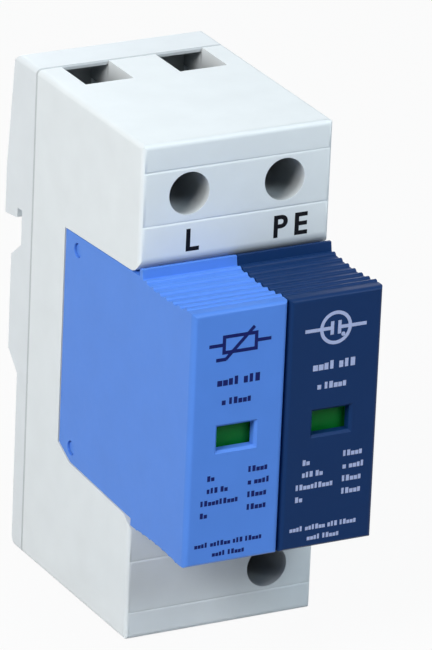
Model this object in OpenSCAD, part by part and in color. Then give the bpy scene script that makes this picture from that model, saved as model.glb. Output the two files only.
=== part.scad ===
// Two-pole surge arrester for a 35 mm top hat rail, with two plug-in protection modules.
// X runs across the poles, Y runs back towards the rail and Z runs up.
// The origin is on the rail's centre line, in the plane that the rail's front face rests on.

/* [Base] */
// Width of one pole.
pole_w = 18; // [17:0.5:20]
// Height of the base.
base_h = 90; // [86:1:96]
// Distance from the rail seat to the terminal faces.
shoulder_d = 44; // [42:0.5:47]
// Thickness of the housing's outer walls at the terminals.
wall = 2; // [1.6:0.1:2.4]
// Rounding of the base's outer edges.
edge_r = 1; // [0.6:0.1:1.2]
// Rounding of the bay's mouth above and below the modules.
mouth_r = 3; // [2:0.2:3.6]
// Width of the parting groove.
groove_w = 0.6; // [0.4:0.05:0.8]
// Width of the lines across the terminal faces.
line_w = 0.7; // [0.6:0.05:0.9]
// Depth of these lines.
line_d = 0.14; // [0.1:0.01:0.18]
// Distance of the outer line from the end of the terminal face.
line_out = 5; // [4.4:0.1:5.4]
// Distance of the inner line from the end of the terminal face.
line_in = 14.6; // [14:0.1:15.2]
// Distance of the spine's core from the blades.
spine_core_in = 4.5; // [4:0.1:5.5]
// Clearance between pieces that fit closely.
fit = 0.1; // [0.08:0.01:0.12]

/* [Rear cover] */
// Thickness of the rear cover at the rail seat.
cover_t = 4; // [3.8:0.1:4.6]
// Distance of the cover's back behind the rail seat at the top edge.
top_back = 4.5; // [4.1:0.1:5.1]
// Bevel of the cover's upper back edge.
top_bevel = 1; // [0.6:0.1:1.4]
// Rounding of the cover's lower back edge.
heel_r = 2; // [1.5:0.1:2.5]
// Thickness of the cover behind the cores at the upper terminals.
core_back = 2.3; // [2:0.1:2.6]
// Thickness of the cover above these cores.
core_roof = 0.8; // [0.7:0.1:1.2]
// Distance of these cores from the sides of the terminal chambers.
core_side = 0.5; // [0.4:0.1:0.8]
// Distance of these cores from the chambers' inner ends.
core_rise = 3; // [2.6:0.1:3.6]
// Distance of these cores from the chambers' outer ends.
core_drop = 0.3; // [0.2:0.05:0.4]
// Length of the tongues that locate the cover.
tongue_l = 2.5; // [2:0.1:3]
// Thickness of these tongues.
tongue_t = 1.5; // [1.2:0.1:1.7]

/* [Rail clip] */
// Width of the top hat rail.
rail_w = 35; // [34.8:0.1:35.2]
// Gap between the rail's edges and the clip.
rail_gap = 0.3; // [0.2:0.05:0.4]
// Width of the groove that takes the rail's upper edge.
rail_slot = 1.8; // [1.5:0.1:2.4]
// Distance of the hook's back behind the rail seat.
hook_d = 7; // [6.5:0.1:8]
// Overlap of the hook behind the rail's upper edge.
hook_lap = 1.5; // [1.2:0.1:1.8]
// Fall of the hook's lip over its bevel.
hook_lead = 0.2; // [0.1:0.05:0.3]
// Fall of the hook's lip from the groove to its tip.
hook_fall = 0.7; // [0.5:0.1:1]
// Bevel of the hook's tip.
hook_tip = 0.5; // [0.4:0.1:0.7]
// Distance of the hook's back corner below the rail's upper edge.
hook_drop = 0.4; // [0.2:0.1:0.6]
// Bevel of the hook's lip and of its corners.
hook_bevel = 0.6; // [0.4:0.1:0.8]
// Distance of the pad between the rail's flanges from the rail's edges.
pad_in = 6; // [5.5:0.1:6.5]
// Height of this pad.
pad_d = 3.7; // [3:0.1:4.2]
// Distance that the pad reaches further down than up.
pad_low = 0.9; // [0.6:0.1:1.2]
// Length of the pad's lower slope for each millimetre of its height.
pad_slope_low = 0.7; // [0.5:0.1:0.9]
// Length of the pad's upper slope for each millimetre of its height.
pad_slope_top = 0.8; // [0.6:0.1:1]

/* [Latch] */
// Width of the latch.
latch_w = 12; // [11:0.5:14]
// Travel of the latch.
latch_travel = 3; // [2.6:0.1:3.4]
// Running gap between the latch and its guide.
latch_gap = 0.15; // [0.1:0.05:0.25]
// Thickness of the cover behind the latch's guide.
guide_wall = 1; // [0.9:0.05:1.1]
// Distance of the guide's lips from the rail seat.
guide_lip_in = 1.4; // [1.3:0.05:1.5]
// Width of these lips.
guide_lip_w = 1.2; // [1:0.1:1.4]
// Room above the latch in its guide.
guide_end = 0.2; // [0.15:0.05:0.3]
// Height of the latch's slide above its catch.
latch_tail = 3.2; // [2.8:0.1:3.6]
// Distance of the latch's foot from the base's lower end.
latch_foot_in = 0.4; // [0.3:0.1:0.6]
// Overlap of the catch behind the rail's lower edge.
catch_lap = 2; // [1.7:0.1:2.3]
// Thickness of the catch.
catch_t = 2.5; // [2.2:0.1:2.8]
// Bevel of the catch, along Y.
catch_bevel = 1; // [0.8:0.1:1.2]
// Bevel of the catch, along Z.
catch_ramp = 1.4; // [1.2:0.1:1.6]
// Distance that the catch's back reaches below the rail's edge.
catch_back = 0.4; // [0.3:0.1:0.6]
// Length of the catch's rib below the rail's edge.
catch_rib = 4.2; // [3.8:0.1:4.6]
// Height of this rib at its lower end.
catch_rib_d = 0.8; // [0.6:0.1:1]
// Distance of the spring's post from the latch's foot.
post_rise = 5.2; // [4.8:0.1:5.6]
// Height of the post.
post_h = 1.6; // [1.4:0.1:1.8]
// Width of the post.
post_w = 2.6; // [2.2:0.1:2.8]
// Distance of the post's end from the rail seat.
post_in = 0.4; // [0.3:0.1:0.6]
// Gap under the post in the latch.
post_gap = 0.2; // [0.15:0.05:0.3]
// Width of the slot for a screwdriver's tip.
tip_slot_w = 6; // [5.5:0.1:6.5]
// Height of this slot.
tip_slot_h = 1.4; // [1.2:0.1:1.6]
// Distance of this slot from the latch's foot.
tip_slot_in = 0.9; // [0.8:0.1:1.1]

/* [Springs] */
// Radius of a spring's coil.
spring_r = 1; // [0.9:0.05:1.1]
// Radius of a spring's wire.
spring_wire = 0.2; // [0.15:0.01:0.22]
// Number of a spring's turns.
spring_turns = 6; // [5:1:7]
// Gap round a spring.
spring_gap = 0.4; // [0.3:0.05:0.5]
// Length of the latch's spring when the latch is drawn.
spring_short = 9.4; // [9:0.1:9.8]

/* [Modules] */
// Distance from the rail seat to the modules' fronts.
nose_d = 64; // [62:0.5:68]
// Height of the module bay at its mouth.
bay_h = 44.4; // [43.6:0.2:45.6]
// Draft of the bay on each side, from mouth to back.
bay_draft = 1.4; // [0.8:0.1:1.8]
// Depth of the keying chamfer in the bay's lower corner.
key_d = 4.5; // [3.6:0.1:5]
// Height of the keying chamfer.
key_h = 1.9; // [1.4:0.1:2.2]
// Further depth of this chamfer inside a case.
key_in_d = 0.3; // [0.2:0.05:0.4]
// Further height of this chamfer inside a case.
key_in_h = 0.2; // [0.15:0.05:0.3]
// Gap around a module in the bay.
bay_gap = 0.2; // [0.15:0.05:0.3]
// Gap on each side of a module.
side_gap = 0.1; // [0.08:0.02:0.2]
// Gap between a module and the base, at the bay's back and at the terminal faces.
seat_gap = 0.3; // [0.2:0.05:0.4]
// Wall thickness of the module cases.
case_wall = 1.3; // [1.1:0.1:1.5]
// Height of a module's front above the bay's mouth.
nose_rise = 0.05; // [0:0.05:0.1]
// Distance of a module's front below the bay's mouth.
nose_drop = 1.1; // [0.9:0.1:1.3]
// Rounding of a module's upper front edge.
brow_r = 0.9; // [0.7:0.1:1.1]
// Bevel of a module's lower front edge.
chin_bevel = 0.4; // [0.3:0.1:0.5]
// Thickness of a module's lid.
lid_t = 1.8; // [1.5:0.1:2.1]

/* [Finger grips] */
// Height of the lip behind the upper finger grip, above the bay.
lip_h = 1.2; // [0.8:0.1:1.6]
// Thickness of this lip at its foot.
lip_t = 1.2; // [1:0.1:1.4]
// Bevel of this lip's edges.
lip_bevel = 0.3; // [0.2:0.05:0.4]
// Distance of the grips from the module's front.
grip_in = 2; // [1.6:0.1:2.4]
// Depth of the hollow of the upper grip.
grip_sag = 0.7; // [0.4:0.1:1]
// Depth of the hollow of the lower grip.
grip_sag_low = 0.42; // [0.3:0.02:0.5]
// Fall of the upper grip from the front to the lip.
grip_fall = 0.45; // [0.3:0.05:0.6]
// Radius of the grips' ribs.
rib_r = 0.55; // [0.4:0.05:0.65]
// Number of ribs on a grip.
rib_count = 7; // [5:1:8]
// Distance of the outer ribs from a grip's ends.
rib_in = 1; // [0.8:0.1:1.2]
// Distance of the upper ribs' middles below the grip.
rib_sink = 0.15; // [0.1:0.05:0.25]
// Distance of the lower ribs' middles above the grip.
rib_sink_low = 0.38; // [0.3:0.02:0.4]

/* [Status window] */
// Width of the status window.
win_w = 7; // [6:0.2:8]
// Height of the status window.
win_h = 4.3; // [3.6:0.1:4.6]
// Width of the bevel around the status window.
win_bevel = 0.45; // [0.3:0.05:0.6]
// Height of the status window's middle above the rail's centre line.
win_z = -0.7; // [-2:0.1:1]
// Length of the window's collar inside the case.
win_collar = 0.5; // [0.4:0.05:0.6]
// Thickness of the collar at the window's sides.
collar_side = 0.75; // [0.65:0.05:0.85]
// Thickness of the collar above and below the window.
collar_end = 0.6; // [0.55:0.05:0.7]
// Thickness of the lens.
lens_t = 0.4; // [0.3:0.05:0.5]
// Lap of the lens past the window on every side, and of the flag at the window's sides.
lens_lap = 0.5; // [0.4:0.05:0.55]
// Thickness of the status flag.
flag_t = 1.05; // [0.9:0.05:1.2]
// Lap of the flag past the window above and below.
flag_lap = 0.65; // [0.55:0.05:0.75]
// Running gap between the flag and its runners.
flag_gap = 0.15; // [0.1:0.05:0.2]
// Width of the flag's runners.
runner_w = 1.05; // [0.9:0.05:1.2]
// Thickness of the runners' lips.
runner_lip = 0.85; // [0.7:0.05:1]
// Lap of these lips over the flag.
runner_lap = 1; // [0.8:0.1:1.2]
// Length of the runners past the flag's travel.
runner_end = 0.5; // [0.4:0.1:0.8]
// Thickness of the stop under the flag.
stop_t = 1.1; // [0.9:0.1:1.3]
// Width of the flag's foot, and depth of the seat of its spring.
foot_w = 3; // [2.8:0.1:3.2]
// Thickness of the flag's foot.
foot_t = 1; // [0.8:0.1:1.2]
// Length of the flag's foot past its spring.
foot_end = 0.2; // [0.1:0.05:0.3]
// Distance of the flag's spring behind the flag.
flag_spring_in = 0.5; // [0.4:0.05:0.6]
// Height of the seat of the flag's spring.
seat_h = 2; // [1.6:0.1:2.4]

/* [Lid] */
// Diameter of the lid's snap pegs.
peg_d = 2.3; // [2:0.1:2.4]
// Gap round a peg in its hole.
peg_gap = 0.15; // [0.1:0.05:0.2]
// Distance of a peg from the case's upper or lower wall.
peg_in = 1.1; // [1:0.1:1.4]
// Distance of a peg from the module's back.
peg_back = 4.5; // [4:0.1:5]
// Distance of a peg's end from the case's outer face.
peg_sink = 0.4; // [0.3:0.1:0.6]
// Length of a peg inside its arm.
peg_root = 0.8; // [0.6:0.1:1]
// Thickness of the arms that carry the pegs.
arm_t = 1.2; // [1:0.1:1.4]
// Length of an arm past its peg.
arm_end = 1.9; // [1.6:0.1:2.2]
// Height of an arm on the inner side of its peg.
arm_in = 1.5; // [1.3:0.1:1.8]

/* [Blades and forks] */
// Distance of a plug blade's middle from the edge of the bay's mouth.
blade_inset = 8.2; // [7.8:0.1:8.8]
// Height of a plug blade.
blade_h = 6; // [5:0.5:7]
// Thickness of a plug blade.
blade_t = 1.2; // [1:0.1:1.4]
// Gap round a blade in the base.
blade_gap = 0.4; // [0.3:0.05:0.5]
// Gap round a blade in the lid.
blade_seat_gap = 0.02; // [0.01:0.01:0.03]
// Distance of a blade's tip from the parting plane.
blade_tip_in = 3.5; // [3:0.1:4]
// Length of a blade's pointed tip.
blade_point = 1; // [0.8:0.1:1.2]
// Width of the tip's end as a share of the blade's thickness.
blade_point_share = 0.4; // [0.3:0.05:0.5]
// Length of a blade inside its module.
blade_tail = 5.4; // [5:0.1:5.8]
// Gap between a blade and each tine of its fork.
tine_gap = 0.06; // [0.04:0.01:0.08]
// Thickness of a tine.
tine_t = 0.8; // [0.6:0.1:1]
// Distance of the tines' ends from the parting plane.
tine_end = 0.2; // [0.15:0.05:0.3]
// Metal past a blade on a fork's inner side.
fork_in = 1.5; // [1.3:0.1:1.8]
// Metal past a blade on a fork's outer side.
fork_out = 2; // [1.7:0.1:2.3]

/* [Protective elements] */
// Room between a case's front wall and the element.
element_front = 6.2; // [6:0.1:6.6]
// Room between a lid and the element.
element_back = 6.9; // [6.5:0.1:7.3]
// Thickness of the varistor.
varistor_t = 6.4; // [5:0.2:8]
// Height of the varistor.
varistor_h = 31; // [28:0.5:33]
// Rounding of the varistor's corners.
varistor_r = 2; // [1.5:0.1:2.5]
// Thickness of the strips inside the modules.
strip_t = 0.8; // [0.6:0.1:1]
// Width of the strips on the varistor.
strip_w = 4; // [3:0.2:5]
// Length of the strips on the varistor.
strip_l = 12; // [10:0.5:14]
// Distance of the line module's release strip from the varistor's front edge.
release_in = 1; // [0.8:0.1:1.4]
// Diameter of the gas tube.
tube_d = 12; // [10:0.5:13]
// Height of a cap of the gas tube.
cap_h = 5; // [4.6:0.1:5.4]
// Height of a cap's rim.
rim_h = 2; // [1.7:0.1:2.3]
// Step from a cap's rim to its neck.
rim_step = 1; // [0.8:0.1:1.4]
// Width of the plates on the gas tube.
plate_w = 6; // [5.5:0.1:6.5]
// Distance of a plate from its blade's middle.
plate_rise = 1.5; // [1.3:0.1:1.7]
// Distance that a plate reaches past the tube's middle.
plate_end = 1; // [0.8:0.1:1.2]
// Overlap of a plate and its blade.
plate_root = 1; // [0.8:0.1:1.2]
// Distance of the earth module's release strip in front of the room for the element.
release_out = 0.2; // [0.15:0.05:0.3]
// Length of this strip's bent end.
release_l = 5; // [4.5:0.1:5.5]

/* [Terminals] */
// Distance of a terminal screw from the end of the base.
term_drop = 9.5; // [9:0.1:10.4]
// Diameter of the screwdriver bores.
bore_d = 7.6; // [7:0.1:8.2]
// Distance from the rail seat to the front of the terminal chambers.
chamber_d = 31; // [30:0.5:33]
// Width of the wire openings.
wire_w = 9.1; // [8.4:0.1:9.8]
// Room for the wire between busbar and cage.
wire_gap = 7; // [6.4:0.1:7.6]
// Distance that a wire opening reaches in front of the busbar's clamping face.
wire_lead = 0.5; // [0.3:0.1:0.7]
// Height of a clamp cage.
cage_h = 8; // [7:0.2:8.6]
// Thickness of a cage's side walls.
cage_wall = 1.4; // [1:0.1:1.6]
// Thickness of a cage's threaded front wall.
cage_nut = 2.2; // [1.8:0.1:2.6]
// Thickness of a cage's back wall.
cage_back = 1.7; // [1.4:0.1:1.9]
// Gap between a cage and the cover, and between a cage and its busbar.
cage_gap = 0.4; // [0.3:0.05:0.5]
// Gap on each side of a cage in its chamber.
cage_side = 0.3; // [0.2:0.05:0.4]
// Gap between a cage and the outer end of its chamber.
cage_end = 0.5; // [0.4:0.1:0.7]
// Diameter of the terminal screws.
screw_d = 5; // [4:0.5:5]
// Depth of a terminal screw's thread.
thread_d = 0.4; // [0.3:0.05:0.5]
// Height of a terminal screw's head.
head_h = 3; // [2.4:0.1:3.2]
// Distance of a head from the front of its chamber.
head_in = 1.6; // [1.4:0.1:1.8]
// Distance of a head's edge inside the edge of its bore.
head_gap = 0.4; // [0.3:0.05:0.5]
// Width of the slots in a head.
slot_w = 1.2; // [1:0.1:1.4]
// Depth of these slots.
slot_d = 1.5; // [1.3:0.1:1.7]
// Length of the cross slot.
slot_l = 4.4; // [4:0.1:4.8]
// Thickness of the busbars.
bar_t = 1.5; // [1.2:0.1:1.8]
// Gap on each side of a busbar in its channel.
bar_gap = 0.3; // [0.2:0.05:0.4]
// Room past the end of a busbar in its channel.
bar_end = 1; // [0.8:0.1:1.2]
// Distance of a busbar's end from the outer end of its chamber.
bar_in = 1.5; // [1.3:0.1:1.8]
// Thickness of the wall between the busbars and the bay.
bay_wall = 1.8; // [1.5:0.1:2.2]

/* [Hidden] */
$fn = 48;
// straight steps of a rounded corner, of the bay's mouth and of a grip
corner_steps = 6;
mouth_steps = 8;
grip_steps = 12;
// distance that a cut runs past the surface it opens
over = 1;
// overlap of shapes that are joined or cut as one
join = 0.1;
half_w = pole_w;
top_z = base_h / 2;
front_y = -shoulder_d;
part_y = -cover_t;
bevel = groove_w / 2;
term_z = top_z - term_drop;

// terminals, from the parting plane forward
cage_y1 = part_y - cage_gap;
cage_in_y = cage_y1 - cage_back;
bar_y1 = cage_in_y - wire_gap;
bar_y0 = bar_y1 - bar_t;
cage_y0 = bar_y0 - cage_gap - cage_nut;
bay_y = bar_y0 - fit - bay_wall;
wire_y = bar_y1 - wire_lead;
cage_in_w = wire_w + fit;
cage_w = cage_in_w + 2 * cage_wall;
chamber_w = cage_w + 2 * cage_side;
chamber_z0 = bay_h / 2 + wall;
chamber_z1 = term_z + cage_h / 2 + cage_end;
bar_w = cage_in_w - 2 * cage_gap;
head_y = -chamber_d + head_in;
head_d = bore_d - 2 * head_gap;
terminals = [[-1, 1], [1, 1], [1, -1]];

// rail clip
rail_z = rail_w / 2;
slot_z = rail_z + rail_gap;
pad_z = rail_z - pad_in;
guide_floor = -(cover_t - guide_wall);
guide_lip = -guide_lip_in;
latch_top = -rail_z - rail_gap;
latch_end = latch_top + latch_tail;
latch_foot = -top_z + latch_foot_in;
post_z = latch_foot + post_rise;
coil_top = post_z + latch_travel + spring_short;
spring_room = spring_r + spring_wire + spring_gap;

// modules
mod_w = pole_w / 2 - side_gap;
in_w = mod_w - case_wall;
mod_y = bay_y - seat_gap;
nose_y = front_y - seat_gap;
face_y = -nose_d;
wall_y = face_y + case_wall;
lid_y = mod_y - lid_t;
nose_top = bay_h / 2 + nose_rise;
nose_low = -bay_h / 2 - nose_drop;
cavity_y = mod_y + join / 2;
cavity_z = bay_h / 2 - bay_draft - bay_gap - case_wall;
peg_z = cavity_z - peg_in;
peg_y = mod_y - peg_back;
blade_tip = part_y - blade_tip_in;
blade_z = bay_h / 2 - blade_inset;
fork_z0 = blade_z - blade_h / 2 - fork_in;
fork_z1 = blade_z + blade_h / 2 + fork_out;
tail_y = lid_y - blade_tail;
lens_y = wall_y + win_collar;
flag_y0 = lens_y + lens_t + flag_gap;
flag_y1 = flag_y0 + flag_t;
flag_w = win_w / 2 + lens_lap;
flag_step = win_h + 2 * flag_lap;
flag_top = win_z + win_h / 2 + flag_lap;
flag_low = flag_top - 2 * flag_step;
runner_x = flag_w + flag_gap + runner_w;
runner_y0 = flag_y1 + flag_gap;
runner_y1 = runner_y0 + runner_lip;
runner_z0 = flag_low - fit - join;
runner_z1 = flag_top + flag_step + runner_end;
flag_spring_y = flag_y1 + flag_spring_in + spring_r + spring_wire;
seat_z = -cavity_z + seat_h;
element_y0 = wall_y + element_front;
element_y1 = lid_y - element_back;
element_y = (element_y0 + element_y1) / 2;
strip_x = varistor_t / 2;
plate_z = blade_z + plate_rise;

// a box between two corners
module box(a, b) {
    translate(a) cube(b - a);
}

// a side profile of Y and Z, drawn out along X from x0
module side(w, x0) {
    translate([x0, 0, 0]) rotate([90, 0, 90]) linear_extrude(w) children();
}

// a front profile of X and Z, drawn out along Y from y0
module face(d, y0) {
    translate([0, y0 + d, 0]) rotate([90, 0, 0]) linear_extrude(d) children();
}

// a plan of X and Y, drawn out along Z from z0
module plan(h, z0) {
    translate([0, 0, z0]) linear_extrude(h) children();
}

// a rod along Y
module rod(x, y0, y1, z, d) {
    translate([x, y0, z]) rotate([-90, 0, 0]) cylinder(d = d, h = y1 - y0);
}

// a rod along X
module cross_rod(x0, x1, y, z, d) {
    translate([x0, y, z]) rotate([0, 90, 0]) cylinder(d = d, h = x1 - x0);
}

// a pole is at the left (-1) or right (1), and an end is the upper (1) or lower (-1)
module at(pole, end) {
    translate([pole * pole_w / 2, 0, 0]) mirror([0, 0, end < 0 ? 1 : 0]) children();
}

// points of an arc
function arc(y, z, r, a0, a1, n = corner_steps) =
    [for (i = [0:n]) [y + r * cos(a0 + (a1 - a0) * i / n), z + r * sin(a0 + (a1 - a0) * i / n)]];

// the bay's upper surface, which narrows from its mouth to its back
function bay_top(y) = bay_h / 2 - bay_draft * (y - front_y) / (bay_y - front_y);

// slope of that surface
bay_slope = -bay_draft / (bay_y - front_y);

// the rounded corner where the bay's upper surface meets the terminal face
mouth_z = bay_top(front_y + mouth_r) + mouth_r * sqrt(1 + bay_slope * bay_slope);
mouth = arc(front_y + mouth_r, mouth_z, mouth_r, 180, 270 + atan(bay_slope), mouth_steps);

function flipped(points) = [for (i = [len(points) - 1:-1:0]) [points[i][0], -points[i][1]]];

module housing_profile() {
    polygon(concat(
        [[part_y, top_z - bevel], [part_y - bevel, top_z]],
        arc(front_y + edge_r, top_z - edge_r, edge_r, 90, 180),
        mouth,
        [
            [bay_y, bay_top(bay_y)],
            [bay_y, -bay_top(bay_y) + key_h],
            [bay_y - key_d, -bay_top(bay_y - key_d)]
        ],
        flipped(mouth),
        arc(front_y + edge_r, -top_z + edge_r, edge_r, 180, 270),
        [[part_y - bevel, -top_z], [part_y, -top_z + bevel]]
    ));
}

module housing_plan() {
    polygon(concat(
        [[half_w - bevel, part_y], [half_w, part_y - bevel]],
        arc(half_w - edge_r, front_y + edge_r, edge_r, 0, -90),
        arc(-half_w + edge_r, front_y + edge_r, edge_r, 270, 180),
        [[-half_w, part_y - bevel], [-half_w + bevel, part_y]]
    ));
}

module base_front() {
    polygon(concat(
        arc(half_w - edge_r, top_z - edge_r, edge_r, 0, 90),
        arc(-half_w + edge_r, top_z - edge_r, edge_r, 90, 180),
        arc(-half_w + edge_r, -top_z + edge_r, edge_r, 180, 270),
        arc(half_w - edge_r, -top_z + edge_r, edge_r, 270, 360)
    ));
}

// what is open inside the housing at one end of a pole, with the lines across its face
module terminal_space() {
    bar_x = bar_w / 2 + bar_gap;
    blade_x = blade_t / 2 + blade_gap;
    blade_half = blade_h / 2 + blade_gap;
    box([-chamber_w / 2, -chamber_d, chamber_z0], [chamber_w / 2, part_y + over, chamber_z1]);
    box([-bar_x, bar_y0 - fit, fork_z0 - bar_end], [bar_x, part_y + over, chamber_z0 + join]);
    box([-blade_x, bay_y - over, blade_z - blade_half], [blade_x, bar_y0, blade_z + blade_half]);
    for (d = [line_out, line_in])
        side(2 * pole_w, -pole_w)
            polygon([
                [front_y - line_d, top_z - d + line_w],
                [front_y + line_d, top_z - d],
                [front_y - line_d, top_z - d - line_w]
            ]);
}

// screwdriver bore and wire opening of a terminal
module terminal_openings() {
    rod(0, front_y - over, -chamber_d + join, term_z, bore_d);
    box([-wire_w / 2, wire_y, chamber_z1 - join], [wire_w / 2, part_y + over, top_z + over]);
}

module housing() {
    core_z = blade_z - blade_h / 2 - spine_core_in;
    color([0.86, 0.89, 0.9])
        difference() {
            intersection() {
                side(2 * half_w, -half_w) housing_profile();
                plan(base_h, -top_z) housing_plan();
                face(shoulder_d, front_y) base_front();
            }
            for (pole = [-1, 1], end = [-1, 1]) at(pole, end) terminal_space();
            for (t = terminals) at(t[0], t[1]) terminal_openings();
            // channel of the busbar that joins the lower forks
            box(
                [-pole_w / 2, bar_y0 - fit, -fork_z1 - bar_gap],
                [pole_w / 2, part_y + over, -fork_z0 + bar_end]
            );
            // the spine is cored from the back between the contacts
            for (pole = [-1, 1])
                at(pole, 1) box([-chamber_w / 2, bar_y0, -core_z], [chamber_w / 2, part_y + over, core_z]);
        }
}

module cover_profile() {
    polygon(concat(
        [[part_y, -top_z + bevel], [part_y + bevel, -top_z]],
        arc(-heel_r, -top_z + heel_r, heel_r, 270, 360),
        // pad between the rail's flanges
        [
            [0, -pad_z - pad_low],
            [pad_d, -pad_z + pad_d * pad_slope_low],
            [pad_d, pad_z - pad_d * pad_slope_top],
            [0, pad_z]
        ],
        // groove and hook for the rail's upper edge
        [
            [0, slot_z],
            [rail_slot, slot_z],
            [rail_slot, rail_z - hook_lap],
            [rail_slot + hook_bevel, rail_z - hook_lap - hook_lead],
            [hook_d - hook_tip, rail_z - hook_lap - hook_fall],
            [hook_d, rail_z - hook_drop]
        ],
        [[top_back, top_z - top_bevel], [top_back - top_bevel, top_z]],
        [[part_y + bevel, top_z], [part_y, top_z - bevel]]
    ));
}

module cover_plan() {
    front = part_y - cover_t;
    polygon([
        [half_w - bevel, front], [half_w - bevel, part_y],
        [half_w, part_y + bevel], [half_w, hook_d - hook_bevel],
        [half_w - hook_bevel, hook_d], [-half_w + hook_bevel, hook_d],
        [-half_w, hook_d - hook_bevel], [-half_w, part_y + bevel],
        [-half_w + bevel, part_y], [-half_w + bevel, front]
    ]);
}

module rear_cover() {
    guide_w = latch_w / 2 + latch_gap;
    mouth_w = guide_w - guide_lip_w;
    guide_z = latch_end + guide_end;
    core_w = chamber_w / 2 - core_side;
    core_z = chamber_z1 - core_drop;
    core_y = top_back - core_back;
    color([0.84, 0.87, 0.88])
        union() {
            difference() {
                intersection() {
                    side(2 * half_w, -half_w) cover_profile();
                    plan(base_h, -top_z) cover_plan();
                    face(cover_t + hook_d, part_y) base_front();
                }
                // cores behind the upper terminals, which reach up behind the wire openings
                for (pole = [-1, 1])
                    at(pole, 1) {
                        box([-core_w, part_y - over, chamber_z0 + core_rise], [core_w, core_y, core_z]);
                        box(
                            [-wire_w / 2, part_y - over, core_z - join],
                            [wire_w / 2, core_y, top_z - core_roof]
                        );
                    }
                // guide of the latch, wider inside than at its mouth
                box([-guide_w, guide_floor, -top_z - over], [guide_w, guide_lip, guide_z]);
                box([-mouth_w, guide_lip - join, -top_z - over], [mouth_w, pad_d + over, guide_z]);
            }
            // post under the latch spring
            box([-post_w / 2, guide_floor - join, post_z - post_h], [post_w / 2, -post_in, post_z]);
            // tongues that locate the cover in the terminal chambers
            for (pole = [-1, 1], end = [-1, 1])
                at(pole, end)
                    box(
                        [-bar_w / 2, part_y - tongue_l, chamber_z0 + fit],
                        [bar_w / 2, part_y + join, chamber_z0 + fit + tongue_t]
                    );
        }
}

module rail_latch() {
    inner = latch_w / 2 - guide_lip_w - latch_gap;
    lip_y = guide_lip - latch_gap;
    root_y = -fit - join;
    catch_y0 = rail_slot + fit;
    catch_y1 = catch_y0 + catch_t;
    color([0.75, 0.78, 0.8])
        difference() {
            union() {
                box([-latch_w / 2, guide_floor + fit, latch_foot], [latch_w / 2, lip_y, latch_end]);
                box([-inner, lip_y - join, latch_foot], [inner, -fit, latch_top]);
                side(2 * inner, -inner)
                    polygon([
                        [root_y, latch_top],
                        [catch_y0, latch_top],
                        [catch_y0, latch_top + catch_lap],
                        [catch_y1 - catch_bevel, latch_top + catch_lap],
                        [catch_y1, latch_top + catch_lap - catch_ramp],
                        [catch_y1, latch_top - catch_back],
                        [catch_rib_d, latch_top - catch_rib],
                        [root_y, latch_top - catch_rib]
                    ]);
            }
            // window of the spring
            box(
                [-spring_room, guide_floor - over, post_z - post_h - post_gap],
                [spring_room, over, coil_top]
            );
            // slot for a screwdriver's tip
            box(
                [-tip_slot_w / 2, guide_floor - over, latch_foot + tip_slot_in],
                [tip_slot_w / 2, over, latch_foot + tip_slot_in + tip_slot_h]
            );
        }
}

// a coil spring standing along Z
module coil(z0, z1) {
    turn_steps = 12;
    sides = 6;
    steps = spring_turns * turn_steps;
    rise = z1 - z0 - 2 * spring_wire;
    points = [for (i = [0:steps], j = [0:sides - 1])
        let (a = 360 * i / turn_steps, b = 360 * j / sides, r = spring_r + spring_wire * cos(b))
        [r * cos(a), r * sin(a), z0 + spring_wire + rise * i / steps + spring_wire * sin(b)]];
    skin = [for (i = [0:steps - 1], j = [0:sides - 1], t = [0, 1])
        let (k = (j + 1) % sides, here = sides * i, next = sides * (i + 1))
        t == 0 ? [here + j, here + k, next + k] : [here + j, next + k, next + j]];
    ends = [[for (j = [sides - 1:-1:0]) j], [for (j = [0:sides - 1]) sides * steps + j]];
    polyhedron(points, concat(skin, ends));
}

module latch_spring() {
    color([0.7, 0.71, 0.73])
        translate([0, (guide_floor - fit) / 2, 0]) coil(post_z, coil_top);
}

// slit that a blade passes, and the two tines that grip it
slit = blade_t / 2 + tine_gap;

module blade_slit() {
    half = blade_h / 2 + blade_gap;
    box([-slit, bar_y0 - over, blade_z - half], [slit, bar_y1 + over, blade_z + half]);
}

module tines() {
    for (s = [0, 1])
        mirror([s, 0, 0])
            box(
                [slit, bar_y1 - 2 * join, blade_z - blade_h / 2],
                [slit + tine_t, part_y - tine_end, blade_z + blade_h / 2]
            );
}

// strip from a fork into its terminal
module terminal_strip() {
    box([-bar_w / 2, bar_y0, fork_z0], [bar_w / 2, bar_y1, chamber_z1 - bar_in]);
}

// busbar and fork of an upper terminal, in one bent copper strip
module contact(pole) {
    color([0.8, 0.5, 0.3])
        at(pole, 1)
            union() {
                difference() {
                    terminal_strip();
                    blade_slit();
                }
                tines();
            }
}

// busbar that joins the modules' lower blades and leads to the lower terminal
module neutral_busbar() {
    reach = pole_w / 2 + bar_w / 2;
    color([0.8, 0.5, 0.3])
        union() {
            difference() {
                union() {
                    box([-reach, bar_y0, -fork_z1], [reach, bar_y1, -fork_z0]);
                    at(1, -1) terminal_strip();
                }
                for (pole = [-1, 1]) at(pole, -1) blade_slit();
            }
            for (pole = [-1, 1]) at(pole, -1) tines();
        }
}

// cage that lifts the wire against the busbar as its screw is turned
module cage(pole, end) {
    nut_y = cage_y0 + cage_nut;
    color([0.72, 0.74, 0.76])
        at(pole, end)
            difference() {
                box([-cage_w / 2, cage_y0, term_z - cage_h / 2], [cage_w / 2, cage_y1, term_z + cage_h / 2]);
                box([-cage_in_w / 2, nut_y, term_z - cage_h], [cage_in_w / 2, cage_in_y, term_z + cage_h]);
                rod(0, cage_y0 - over, nut_y + over, term_z, screw_d + fit);
            }
}

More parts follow.
